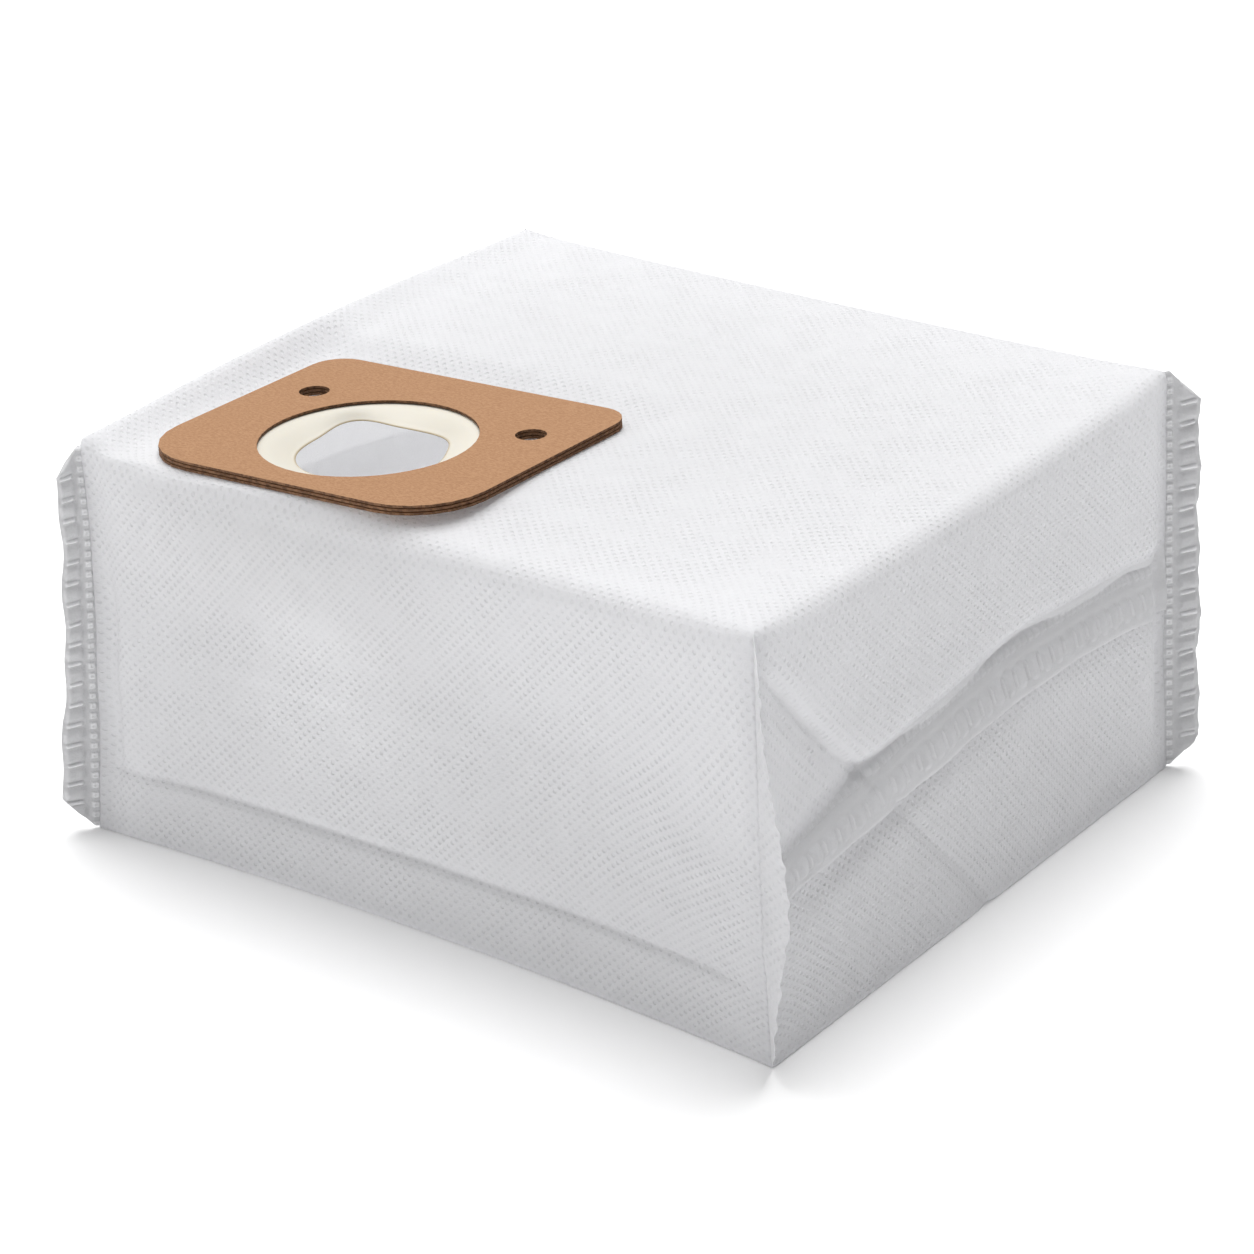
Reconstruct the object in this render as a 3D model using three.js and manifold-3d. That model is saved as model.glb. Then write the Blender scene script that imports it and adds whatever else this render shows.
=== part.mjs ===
// A block-shaped dust bag of white nonwoven fabric, with a laminated card collar and a soft sealing
// membrane round its inlet. Millimetres, +Z up. X runs along the long side, and the origin lies on the
// floor under the middle of the bag.
//
// The bag is a tube of fabric welded shut at both ends. Each end seam runs across the middle of an end
// panel, with its flange folded down, and the four corners are welded upright, which squares the bag
// and leaves a flange standing out from each corner.
import * as THREE from "three";
import { mergeVertices } from "three/addons/utils/BufferGeometryUtils.js";
import Module from "manifold-3d";

// Fabric box
const BAG_LENGTH = 188.6;
const BAG_WIDTH = 171.2;
const BAG_HEIGHT = 100;
const WALL = 1.2;
const FRONT_EDGE_RADIUS = 12; // the top panel's front and right edges
const BACK_EDGE_RADIUS = 4; // its back and left edges
const CORNER_RADIUS = 2;
const BASE_EDGE_RADIUS = 1;

// How far the soft panels stand in or out of the flat faces
const TOP_CROWN = 1.6;
const TOP_EDGE_SAG = 3; // of its front and right edges
const LEFT_EDGE_RISE = 3;
const SIDE_HOLLOW = 4;
const END_SWELL = 4;

// Crease that runs along the foot of the front panel
const CREASE_HEIGHT = 17.5;
const CREASE_DEPTH = 1.5;
const CREASE_SPREAD = 5;

// End seam, with its flange folded down over the panel
const SEAM_HEIGHT = 61.5;
const SEAM_FALL = 10; // how far it drops over a half width
const SEAM_PEAK = 0.25; // where it stands highest, as a share of the half width
const SEAM_FLANGE = 13;
const SEAM_FLANGE_THICKNESS = 1.1;
const SEAM_LIP = 1.2; // open gap behind the free edge
const SEAM_HOLD = 0.8; // how deep the flange is held in the panel at its root
const SEAM_VALLEY = 2.2;
const SEAM_VALLEY_SPREAD = 5;

// Slanting crease from a top corner down to the end seam
const FOLD_TOP = 8; // below the top of the bag, at the corner
const FOLD_RUN = 35; // in from the corner, where it meets the seam
const FOLD_DEPTH = 3;
const FOLD_SPREAD = 5;

// Welded corner flanges
const FLANGE_REACH = 7.2;
const FLANGE_THICKNESS = 1;
const FLANGE_HOLD = 1.9; // how deep the flange is held in the corner
const FLANGE_WAVE = 0.5;
const FLANGE_WAVE_LENGTH = 33;
const FLANGE_FOOT = 0.6; // clear of the floor

// Card collar: three laminated layers round the inlet
const COLLAR_LENGTH = 88.5;
const COLLAR_BACK = 41.7; // from the inlet's axis to the collar's back edge
const COLLAR_FRONT_LAND = 1.05; // card left between the membrane's seat and the collar's front edge
const COLLAR_BACK_RADIUS = 8;
const COLLAR_FRONT_RADIUS = 17.5;
const CARD_THICKNESS = 0.55;
const GLUE_GAP = 0.3;
const COLLAR_SEAT = 0.25; // the collar's underside lies this far below the top of the box
const COLLAR_TILT = 3.2; // degrees, rising towards +X
const COLLAR_NOD = 0.53; // degrees, rising towards -Y
const INLET_FROM_LEFT = 58.4; // from the left end panel to the inlet's axis
const INLET_FROM_FRONT = 33.4; // from the front panel to the inlet's axis
const INLET_RADIUS = 25.1;
const PEG_HOLE_RADIUS = 3.65;
const PEG_HOLE_SPACING = 63;
const PEG_HOLE_BACK = 19; // behind the inlet's axis

// Membrane ring held between the top and bottom cards
const MEMBRANE_THICKNESS = 0.5;
const MEMBRANE_MARGIN = 5.5; // how far it reaches in between the cards
const MEMBRANE_OPENING = 17.6;
const MEMBRANE_LOBE = 4.5; // the opening is stretched this much wider on one side
const MEMBRANE_LOBE_ANGLE = 137; // degrees, counter-clockwise from +X
const MEMBRANE_SAG = 2.2;
const MEMBRANE_BEND = 0.6; // the sag starts this far inside the inlet
const RING_CLEARANCE = 0.35; // between the membrane's edge and the middle card
const NECK_CLEARANCE = 2; // the bottom card and the fabric are cut this much wider than the inlet
const GLUE_RING = 5; // width of the glued ring of fabric round the inlet
const GLUE_REACH = 2; // the fabric is drawn up to the collar from this far below

const HALF_LENGTH = BAG_LENGTH / 2;
const HALF_WIDTH = BAG_WIDTH / 2;
const INLET_X = INLET_FROM_LEFT - HALF_LENGTH;
const INLET_Y = INLET_FROM_FRONT - HALF_WIDTH;
const UNDERSIDE = BAG_HEIGHT - COLLAR_SEAT;
const NECK_RADIUS = INLET_RADIUS + NECK_CLEARANCE;
const RING_RADIUS = INLET_RADIUS + MEMBRANE_MARGIN;
const SEAT_RADIUS = RING_RADIUS + RING_CLEARANCE;
const COLLAR_FRONT = -(SEAT_RADIUS + COLLAR_FRONT_LAND);
const TILT = THREE.MathUtils.degToRad(COLLAR_TILT);
const NOD = THREE.MathUtils.degToRad(COLLAR_NOD);

// Where the corners of the bag stand, off those of a true box: x, y and z
const CORNER_OFFSETS = {
  frontLeft: { top: [1.8, 0.6, -0.2], base: [-1.5, -0.6, 0] },
  frontRight: { top: [-2.4, -1.5, 0.6], base: [3, -1, 0] },
  backRight: { top: [-2, -0.2, 2.8], base: [2.8, 1.3, 0] },
  backLeft: { top: [-1, 0, 0.9], base: [-1.5, 0.9, 0] },
};

const wasm = await Module();
wasm.setup();

const fabric = new THREE.MeshStandardMaterial({ color: 0xf2f2f3, roughness: 0.9, metalness: 0 });
const kraftCard = new THREE.MeshStandardMaterial({ color: 0xbf9068, roughness: 0.85, metalness: 0 });
const rubber = new THREE.MeshStandardMaterial({ color: 0xe6e1d3, roughness: 0.6, metalness: 0 });

const { lerp, smoothstep, clamp } = THREE.MathUtils;
const arch = (share) => 1 - share * share;
const bump = (distance, spread) => Math.exp(-((distance / spread) ** 2));

// A closed mesh as a solid that can be joined and cut.
function solidFrom(geometry) {
  const bare = geometry.clone();
  bare.deleteAttribute("normal");
  bare.deleteAttribute("uv");
  const merged = mergeVertices(bare, 1e-4);
  return new wasm.Manifold(
    new wasm.Mesh({
      numProp: 3,
      vertProperties: new Float32Array(merged.attributes.position.array),
      triVerts: new Uint32Array(merged.index.array),
    }),
  );
}

function geometryFrom(solid) {
  const { vertProperties, triVerts } = solid.getMesh();
  const geometry = new THREE.BufferGeometry();
  geometry.setAttribute("position", new THREE.BufferAttribute(vertProperties, 3));
  geometry.setIndex(new THREE.BufferAttribute(triVerts, 1));
  geometry.computeVertexNormals();
  return geometry;
}

function namedMesh(name, geometry, material) {
  const mesh = new THREE.Mesh(geometry, material);
  mesh.name = name;
  return mesh;
}

function moveVertices(geometry, place) {
  const points = geometry.attributes.position;
  const point = new THREE.Vector3();
  for (let i = 0; i < points.count; i++) {
    point.fromBufferAttribute(points, i);
    place(point);
    points.setXYZ(i, point.x, point.y, point.z);
  }
  return geometry;
}

// Distance from a point to a straight line between two others, in a plane.
function distanceToLine([px, py], [ax, ay], [bx, by]) {
  const along = ((px - ax) * (bx - ax) + (py - ay) * (by - ay)) / ((bx - ax) ** 2 + (by - ay) ** 2);
  const share = clamp(along, 0, 1);
  return Math.hypot(px - lerp(ax, bx, share), py - lerp(ay, by, share));
}

// How far the whole box leans at a place, mixed from its eight corners.
function lean(across, along, up) {
  const { frontLeft, frontRight, backRight, backLeft } = CORNER_OFFSETS;
  const at = (corner, axis) => lerp(corner.base[axis], corner.top[axis], up);
  const mixed = (axis) => {
    const front = lerp(at(frontLeft, axis), at(frontRight, axis), across);
    const back = lerp(at(backLeft, axis), at(backRight, axis), across);
    return lerp(front, back, along);
  };
  return new THREE.Vector3(mixed(0), mixed(1), mixed(2));
}

// Height of the root of an end seam. The two ends are alike, each seen from outside its own panel.
function seamHeight(end, y) {
  const share = clamp((end * y) / HALF_WIDTH, -1, 1);
  return SEAM_HEIGHT - SEAM_FALL * (share - SEAM_PEAK) ** 2;
}

// How far an end panel stands out at a place on it: a swell above the seam and a lesser one below,
// a valley along the seam, and the slanting crease. Creases are wider on the inner side of the wall.
function endSwell(end, y, z, inset) {
  const spread = 1 + inset / 2;
  const share = clamp((end * y) / HALF_WIDTH, -1, 1);
  const seam = seamHeight(end, y);
  const above = Math.sin(Math.PI * clamp((z - seam) / (BAG_HEIGHT - seam), 0, 1));
  const below = Math.sin(Math.PI * clamp(z / seam, 0, 1));
  const swell = END_SWELL * arch(share) * (above + below / 3);
  const valley = SEAM_VALLEY * arch(share ** 3) * bump(z - seam, SEAM_VALLEY_SPREAD * spread);
  const footY = FOLD_RUN - HALF_WIDTH;
  const head = [-HALF_WIDTH, BAG_HEIGHT - FOLD_TOP];
  const foot = [footY, seamHeight(1, footY)];
  const fold = FOLD_DEPTH * bump(distanceToLine([end * y, z], head, foot), FOLD_SPREAD * spread);
  return swell - Math.max(valley, fold * smoothstep(1 + share, 0, 0.12));
}

// How far the front or back panel stands out. Both are hollow, and the front has the crease.
function sideSwell(side, x, z, inset) {
  const share = clamp(x / HALF_LENGTH, -1, 1);
  const hollow = SIDE_HOLLOW * arch(share) * lerp(1, 0.5, clamp(z / BAG_HEIGHT, 0, 1));
  const spread = CREASE_SPREAD * (1 + inset / 2);
  const crease = CREASE_DEPTH * arch(share ** 4) * bump(z - CREASE_HEIGHT, spread);
  return side < 0 ? -hollow - crease : -hollow;
}

// How far the top panel stands up. Between the corners its front and right edges sag, and the left
// one rises.
function topSwell(x, y) {
  const across = clamp(x / HALF_LENGTH, -1, 1);
  const along = clamp(y / HALF_WIDTH, -1, 1);
  const front = smoothstep(-along, 0.5, 1) * arch(across);
  const right = smoothstep(across, 0.5, 1) * arch(along);
  const left = smoothstep(-across, 0.8, 1) * arch(along);
  const crown = TOP_CROWN * arch(across) * arch(along);
  return crown - TOP_EDGE_SAG * Math.max(front, right) + LEFT_EDGE_RISE * left;
}

// Height of the collar's underside above a place on the floor.
function collarUnderside(x, y) {
  return UNDERSIDE + (x - INLET_X) * Math.tan(TILT) - (y - INLET_Y) * Math.tan(NOD);
}

// 1 where the fabric is glued to the collar round the inlet, falling to 0 where it is free.
function gluedToCollar(x, y) {
  const radius = Math.hypot(x - INLET_X, y - INLET_Y);
  return 1 - smoothstep(radius, NECK_RADIUS + GLUE_RING, NECK_RADIUS + 5 * GLUE_RING);
}

// 1 under the collar, falling to 0 a little way outside it.
function underCollar(x, y) {
  const outX = Math.abs(x - INLET_X) - COLLAR_LENGTH / 2;
  const outY = Math.max(y - INLET_Y - COLLAR_BACK, INLET_Y + COLLAR_FRONT - y);
  return 1 - smoothstep(Math.max(outX, outY), PRESS_MARGIN, PRESS_MARGIN + PRESS_FADE);
}

// Moves a point of the true box to its place on the soft bag. What stands off a panel rides on it.
function soften(point, inset) {
  const end = Math.sign(point.x) || 1;
  const side = Math.sign(point.y) || 1;
  const up = clamp(point.z / BAG_HEIGHT, 0, 1);
  const nearEnd = smoothstep(Math.abs(point.x) / HALF_LENGTH, 0.5, 0.95);
  const nearSide = smoothstep(Math.abs(point.y) / HALF_WIDTH, 0.5, 0.95);
  const nearTop = smoothstep(up, 0.5, 0.95);
  const shift = new THREE.Vector3(
    nearEnd * end * endSwell(end, point.y, point.z, inset),
    nearSide * side * sideSwell(side, point.x, point.z, inset),
    nearTop * topSwell(point.x, point.y),
  );
  const across = clamp(0.5 + point.x / BAG_LENGTH, 0, 1);
  const along = clamp(0.5 + point.y / BAG_WIDTH, 0, 1);
  point.add(shift).add(lean(across, along, up));

  // The top panel meets the collar round the inlet, and is pressed flat wherever it would rise into it.
  const ceiling = collarUnderside(point.x, point.y) - GLUE_GAP - inset;
  const reached = 1 - smoothstep(ceiling - point.z, GLUE_REACH, 2 * GLUE_REACH);
  point.z = lerp(point.z, ceiling, nearTop * reached * gluedToCollar(point.x, point.y));
  point.z = lerp(point.z, Math.min(point.z, ceiling), nearTop * underCollar(point.x, point.y));
  return point;
}

// Rounds an edge: a and b are the distances in from its two faces.
function roundEdge(a, b, radius) {
  const outA = radius - a;
  const outB = radius - b;
  if (outA <= 0 || outB <= 0) return [a, b];
  const pull = Math.max(outA, outB) / Math.hypot(outA, outB);
  return [radius - outA * pull, radius - outB * pull];
}

// Rounds the twelve edges of a box that is set in from the outside by a wall.
function roundBox(point, inset) {
  const radius = (outer) => Math.max(outer - inset, MIN_RADIUS);
  const nearCorner = (at, half) => Math.min(Math.abs(at) / half, 1) ** 8;
  const topRadius = (middle, share) => radius(lerp(middle, CORNER_RADIUS, share));
  const middleAlongY = point.x > 0 ? FRONT_EDGE_RADIUS : BACK_EDGE_RADIUS;
  const middleAlongX = point.y < 0 ? FRONT_EDGE_RADIUS : BACK_EDGE_RADIUS;
  const topAlongY = topRadius(middleAlongY, nearCorner(point.y, HALF_WIDTH));
  const topAlongX = topRadius(middleAlongX, nearCorner(point.x, HALF_LENGTH));
  const upper = point.z > BAG_HEIGHT / 2;

  let inX = HALF_LENGTH - inset - Math.abs(point.x);
  let inY = HALF_WIDTH - inset - Math.abs(point.y);
  let inZ = upper ? BAG_HEIGHT - inset - point.z : point.z - inset;
  [inX, inY] = roundEdge(inX, inY, radius(CORNER_RADIUS));
  [inX, inZ] = roundEdge(inX, inZ, upper ? topAlongY : radius(BASE_EDGE_RADIUS));
  [inY, inZ] = roundEdge(inY, inZ, upper ? topAlongX : radius(BASE_EDGE_RADIUS));
  point.set(
    Math.sign(point.x) * (HALF_LENGTH - inset - inX),
    Math.sign(point.y) * (HALF_WIDTH - inset - inY),
    upper ? BAG_HEIGHT - inset - inZ : inset + inZ,
  );
  return point;
}

// Near the ends, the level grid line at mid height is lifted onto the arched seam.
function followSeam(point) {
  const end = Math.sign(point.x) || 1;
  const nearEnd = smoothstep(Math.abs(point.x) / HALF_LENGTH, 0.5, 0.95);
  const share = Math.min(point.z / SEAM_LEVEL, (BAG_HEIGHT - point.z) / (BAG_HEIGHT - SEAM_LEVEL));
  point.z += nearEnd * share * (seamHeight(end, point.y) - SEAM_LEVEL);
  return point;
}

const SEAM_LEVEL = SEAM_HEIGHT - SEAM_FALL / 2;
const MIN_RADIUS = 0.6;
const PRESS_MARGIN = 1.5; // how far round the collar the top panel stays pressed flat
const PRESS_FADE = 7; // and over what further stretch it comes free
const MARK_GAP = 0.5; // grid marks closer than this count as one
const PANEL_PITCH = 20; // longest grid step on a plain panel
const CREASE_PITCH = 7; // longest grid step where there are creases
const NECK_CUT = 24; // length of the cutter that opens the top panel
const INLET_FACETS = 48;
const PEG_HOLE_FACETS = 16;
const OUTLINE_FACETS = 6;
const EDGE_STEPS = [0, 2, 6]; // grid lines across a rounded edge, in from the face

// Distances in from a face, in order up to the middle of the box. The two halves of a box have the
// same grid lines, so a mark beyond the middle is counted from the other face.
function marksToMiddle(half, distances) {
  const nearer = distances.map((distance) => Math.min(distance, 2 * half - distance));
  const [first, ...others] = nearer.sort((a, b) => a - b);
  const marks = [first];
  for (const at of others) {
    if (at - marks.at(-1) >= MARK_GAP && half - at >= MARK_GAP) marks.push(at);
  }
  return [...marks, half];
}

// Splits each stretch between marks into equal steps no longer than a pitch.
function stations(marks, pitch) {
  const places = [marks[0]];
  for (let i = 1; i < marks.length; i++) {
    const steps = Math.ceil((marks[i] - marks[i - 1]) / pitch);
    for (let k = 1; k <= steps; k++) {
      places.push(lerp(marks[i - 1], marks[i], k / steps));
    }
  }
  return places;
}

// Grid lines from one side of the box to the other, from the distances in from a face.
function acrossBox(half, distances) {
  const left = distances.map((distance) => distance - half);
  return [...left, ...left.slice(0, -1).reverse().map((at) => -at)];
}

// A closed box surface on three sets of grid lines.
function gridBox(xLines, yLines, zLines) {
  const counts = [xLines, yLines, zLines].map((lines) => lines.length - 1);
  const geometry = new THREE.BoxGeometry(1, 1, 1, ...counts);
  const line = (lines, at) => lines[Math.round((at + 0.5) * (lines.length - 1))];
  return moveVertices(geometry, (point) =>
    point.set(line(xLines, point.x), line(yLines, point.y), line(zLines, point.z)),
  );
}

// The soft surface of the bag, set in by an inset. The inner one has a coarser grid.
function bagSurface(inset) {
  const coarse = inset > 0 ? 1.6 : 1;
  const edge = EDGE_STEPS.map((step) => Math.max(step, inset));
  const topEdge = [...edge, FRONT_EDGE_RADIUS + 1].map((step) => BAG_HEIGHT - step);
  const pressedHalf = COLLAR_LENGTH / 2 + PRESS_MARGIN;
  const collarLeft = INLET_FROM_LEFT - pressedHalf;
  const collarRight = BAG_LENGTH - INLET_FROM_LEFT - pressedHalf;
  const collarBack = INLET_FROM_FRONT + COLLAR_BACK + PRESS_MARGIN;
  const xSteps = [...edge, FRONT_EDGE_RADIUS + 1, collarLeft, collarRight];
  const xMarks = marksToMiddle(HALF_LENGTH, xSteps);
  const xLines = acrossBox(HALF_LENGTH, stations(xMarks, PANEL_PITCH * coarse));
  const folded = stations([...edge, FOLD_RUN], CREASE_PITCH);
  const plainMarks = marksToMiddle(HALF_WIDTH, [FOLD_RUN, collarBack]);
  const plain = stations(plainMarks, PANEL_PITCH * coarse);
  const yLines = acrossBox(HALF_WIDTH, [...folded, ...plain.slice(1)]);
  const zMarks = [...edge, CREASE_HEIGHT, SEAM_LEVEL, ...topEdge.reverse()];
  const zLines = stations(zMarks, CREASE_PITCH);
  return moveVertices(gridBox(xLines, yLines, zLines), (point) =>
    soften(followSeam(roundBox(point, inset)), inset),
  );
}

// A flange that stands out from a corner, as seen in plan, with its ends cut off at 45 degrees.
function cornerFlange(end, side) {
  const geometry = new THREE.BoxGeometry(1, 1, 1, 2, 1, 12);
  const diagonal = Math.SQRT1_2;
  return moveVertices(geometry, (point) => {
    const reach = lerp(-FLANGE_HOLD, FLANGE_REACH, point.x + 0.5);
    const cut = FLANGE_FOOT + Math.max(reach, 0);
    const z = lerp(cut, BAG_HEIGHT - cut, point.z + 0.5);
    const wave = Math.sin((2 * Math.PI * z) / FLANGE_WAVE_LENGTH + end + 2 * side);
    const swing = point.y * FLANGE_THICKNESS + (FLANGE_WAVE * wave * reach) / FLANGE_REACH;
    point.set(
      end * (HALF_LENGTH + reach * diagonal) - side * swing * diagonal,
      side * (HALF_WIDTH + reach * diagonal) + end * swing * diagonal,
      z,
    );
    soften(point, 0);
  });
}

// The flange of an end seam, folded down from its root, with its free edge standing a little open.
function seamFlange(end) {
  const geometry = new THREE.BoxGeometry(1, 1, 1, 1, 16, 2);
  return moveVertices(geometry, (point) => {
    const y = 2 * point.y * (HALF_WIDTH - CORNER_RADIUS);
    const root = point.z + 0.5;
    const stand = lerp(SEAM_LIP, -SEAM_HOLD, root);
    const out = stand + (point.x + 0.5) * SEAM_FLANGE_THICKNESS;
    point.set(end * (HALF_LENGTH + out), end * y, seamHeight(1, y) - SEAM_FLANGE * (1 - root));
    soften(point, 0);
  });
}

function bagBody() {
  let bag = solidFrom(bagSurface(0)).subtract(solidFrom(bagSurface(WALL)));
  for (const end of [-1, 1]) {
    bag = bag.add(solidFrom(seamFlange(end)));
    for (const side of [-1, 1]) {
      bag = bag.add(solidFrom(cornerFlange(end, side)));
    }
  }
  const neck = new THREE.CylinderGeometry(NECK_RADIUS, NECK_RADIUS, NECK_CUT, INLET_FACETS);
  neck.rotateX(Math.PI / 2);
  neck.translate(INLET_X, INLET_Y, UNDERSIDE);
  return namedMesh("bag_body", geometryFrom(bag.subtract(solidFrom(neck))), fabric);
}

// Points along an arc, in quarter turns.
function arcPoints(x, y, radius, from, to, steps) {
  const curve = new THREE.EllipseCurve(x, y, radius, radius, (from * Math.PI) / 2, (to * Math.PI) / 2);
  return curve.getPoints(steps);
}

function collarOutline() {
  const side = COLLAR_LENGTH / 2;
  const rf = COLLAR_FRONT_RADIUS;
  const rb = COLLAR_BACK_RADIUS;
  return new THREE.Shape([
    ...arcPoints(side - rf, COLLAR_FRONT + rf, rf, 3, 4, OUTLINE_FACETS),
    ...arcPoints(side - rb, COLLAR_BACK - rb, rb, 0, 1, OUTLINE_FACETS),
    ...arcPoints(rb - side, COLLAR_BACK - rb, rb, 1, 2, OUTLINE_FACETS),
    ...arcPoints(rf - side, COLLAR_FRONT + rf, rf, 2, 3, OUTLINE_FACETS),
  ]);
}

// One layer of the collar, by its place in the stack and the radius of its inlet hole.
function card(name, layer, holeRadius) {
  const blank = new THREE.ExtrudeGeometry(collarOutline(), {
    depth: CARD_THICKNESS,
    bevelEnabled: false,
  });
  const punch = (x, y, radius, facets) => {
    const cutter = new THREE.CylinderGeometry(radius, radius, 3 * CARD_THICKNESS, facets);
    return solidFrom(cutter.rotateX(Math.PI / 2).translate(x, y, CARD_THICKNESS / 2));
  };
  let layerSolid = solidFrom(blank).subtract(punch(0, 0, holeRadius, INLET_FACETS));
  for (const side of [-1, 1]) {
    const pegX = (side * PEG_HOLE_SPACING) / 2;
    const peg = punch(pegX, PEG_HOLE_BACK, PEG_HOLE_RADIUS, PEG_HOLE_FACETS);
    layerSolid = layerSolid.subtract(peg);
  }
  const mesh = namedMesh(name, geometryFrom(layerSolid), kraftCard);
  mesh.position.z = layer * (CARD_THICKNESS + GLUE_GAP);
  return mesh;
}

// The ring lies flat between the cards and sags inside the inlet, round an uneven opening.
function membrane() {
  const middle = 1.5 * CARD_THICKNESS + GLUE_GAP;
  const bend = INLET_RADIUS - MEMBRANE_BEND;
  const half = MEMBRANE_THICKNESS / 2;
  const section = [
    [RING_RADIUS, -half],
    [RING_RADIUS, half],
    [bend, half],
    [MEMBRANE_OPENING, half - MEMBRANE_SAG],
    [MEMBRANE_OPENING, -half - MEMBRANE_SAG],
    [bend, -half],
    [RING_RADIUS, -half],
  ];
  const profile = section.map(([radius, height]) => new THREE.Vector2(radius, height));
  const geometry = new THREE.LatheGeometry(profile, INLET_FACETS).rotateX(Math.PI / 2);
  moveVertices(geometry, (point) => {
    const radius = Math.hypot(point.x, point.y);
    const angle = Math.atan2(point.y, point.x) - THREE.MathUtils.degToRad(MEMBRANE_LOBE_ANGLE);
    const inner = clamp((bend - radius) / (bend - MEMBRANE_OPENING), 0, 1);
    const lobe = MEMBRANE_LOBE * inner * Math.max(Math.cos(angle), 0) ** 6;
    point.x *= (radius + lobe) / radius;
    point.y *= (radius + lobe) / radius;
  });
  const mesh = namedMesh("inlet_membrane", geometry, rubber);
  mesh.position.z = middle;
  return mesh;
}

function collar() {
  const group = new THREE.Group();
  group.add(card("card_bottom", 0, NECK_RADIUS));
  group.add(card("card_middle", 1, SEAT_RADIUS));
  group.add(card("card_top", 2, INLET_RADIUS));
  group.add(membrane());
  group.position.set(INLET_X, INLET_Y, UNDERSIDE);
  group.rotation.set(-NOD, -TILT, 0);
  return group;
}

const bag = new THREE.Group();
bag.add(bagBody(), collar());

// The origin goes under the middle of everything, on the floor.
const bounds = new THREE.Box3().setFromObject(bag, true);
const middle = bounds.getCenter(new THREE.Vector3());
bag.position.set(-middle.x, -middle.y, -bounds.min.z);

export default bag;
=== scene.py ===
import math

import bpy
import numpy as np
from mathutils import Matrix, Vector, noise


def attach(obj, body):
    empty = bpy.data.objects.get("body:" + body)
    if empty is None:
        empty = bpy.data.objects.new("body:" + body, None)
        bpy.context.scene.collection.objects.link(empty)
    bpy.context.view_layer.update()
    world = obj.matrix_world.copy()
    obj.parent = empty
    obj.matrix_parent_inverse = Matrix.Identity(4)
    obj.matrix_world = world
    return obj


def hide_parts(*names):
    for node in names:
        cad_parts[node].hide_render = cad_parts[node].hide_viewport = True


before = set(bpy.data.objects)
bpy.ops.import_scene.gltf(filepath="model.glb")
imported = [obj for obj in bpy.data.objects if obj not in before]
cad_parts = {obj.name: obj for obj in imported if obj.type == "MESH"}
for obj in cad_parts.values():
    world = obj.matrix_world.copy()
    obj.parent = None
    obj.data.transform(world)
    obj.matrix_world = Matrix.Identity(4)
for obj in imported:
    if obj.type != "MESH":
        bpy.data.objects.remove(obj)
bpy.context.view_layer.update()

# The bag, in millimetres. Its main sizes are those of the part.
HALF_LENGTH = 94.3
HALF_WIDTH = 85.6
HEIGHT = 100.0
ORIGIN_SHIFT = np.array([-0.54664, 0.24067, 0.0])  # the place of the bag's middle in the frame
FRONT_EDGE_RADII = (8.5, 5.0)  # of the top's front edge, in its left half and in its right
FRONT_EDGE_CHANGE = (-30, 20)  # where one gives way to the other
RIGHT_EDGE_RADIUS = 4.5
BACK_EDGE_RADIUS = 4.0  # the top's back and left edges
CORNER_RADIUS = 2.0
NEAR_CORNER_RADIUS = 0.6  # the front right corner, where the panels run into the flange
BASE_EDGE_RADIUS = 1.0

# Corners of the bag off those of a true box: front left, front right, back left, back right
TOP_OFFSETS = np.array([[1.8, 0.6, -0.2], [-2.4, -1.5, 0.6], [-1, 0, 0.9], [-2, -0.2, 2.8]])
TOP_LEFT_TURN = np.array([-2.0, 0, 0])  # the front left corner turns out near its top
TOP_LEFT_TURN_FROM = 0.72  # as a share of the height
BASE_OFFSETS = np.array([[-1.5, -0.6, 0], [3, -1, 0], [-1.5, 0.9, 0], [2.8, 1.3, 0]])

# The soft shape of each face sets in and is full at these shares of the way out from the middle
FACE_SETS_IN = (0.5, 0.95)

TOP_CROWN = 1.6
TOP_EDGE_SAG = 1.6  # of the front edge
RIGHT_SAG_SHARE = 0.8
SAG_FROM = 0.5
LEFT_EDGE_RISE = 3.0
LEFT_RISE_FROM = 0.86

SIDE_HOLLOW = 4.0
FRONT_HOLLOW_FADES = (55, 94)  # heights
SHOULDER = 0.8
SHOULDER_UNDER_COLLAR = 2.4
SHOULDER_PLACE = -50
SHOULDER_SPREAD = 40
SHOULDER_HEIGHTS = (60, 92)

CREASE_HEIGHT = 17.5
CREASE_DEPTH = 1.2
CREASE_SPREAD = 7.0
CREASE_FALL = 1.8  # power of its slope down to the base
CREASE_GROOVE = 0.9  # the sharp line at its bottom
GROOVE_SPREAD = 1.3

END_SWELL = 4.0

# The end seams, and over the right one a tongue of cloth, with a facet left of the tongue's fold
SEAM_HEIGHT = 61.5
SEAM_FALL = 10.0
SEAM_PEAK = 0.25
SEAM_FLANGE = 13.0
SEAM_LEVEL = SEAM_HEIGHT - SEAM_FALL / 2
FOLD_HEAD = (-85.6, 94.5)
FOLD_FOOT = (-47.6, 53.9)
TIP_ROUND = 3.2
TONGUE_STAND = 2.2
TONGUE_EDGE = 2.2
TONGUE_MARGIN = 1.8  # how far the tongue reaches past its fold
TONGUE_OVERHANG = 0.6  # and past the seam
TONGUE_RIPPLE = 0.9
TONGUE_RIPPLE_RUN = 9.5
FACET_DEPTH = 1.5
FACET_FADES = (8, 20)  # below the seam
FACET_ENDS = (0.12, 0.2)  # where it fades out beside the front and the back, as shares of the half width
FACET_TOP = (1, 9)  # and below the top
TUCK = 2.0
WRINKLE_DEPTH = 0.42
WRINKLE_PITCH = 1.7
WRINKLES_AT = -4.5  # from the fold
WRINKLES_SPREAD = 3
WRINKLE_HEIGHTS = (56, 66)
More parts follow.
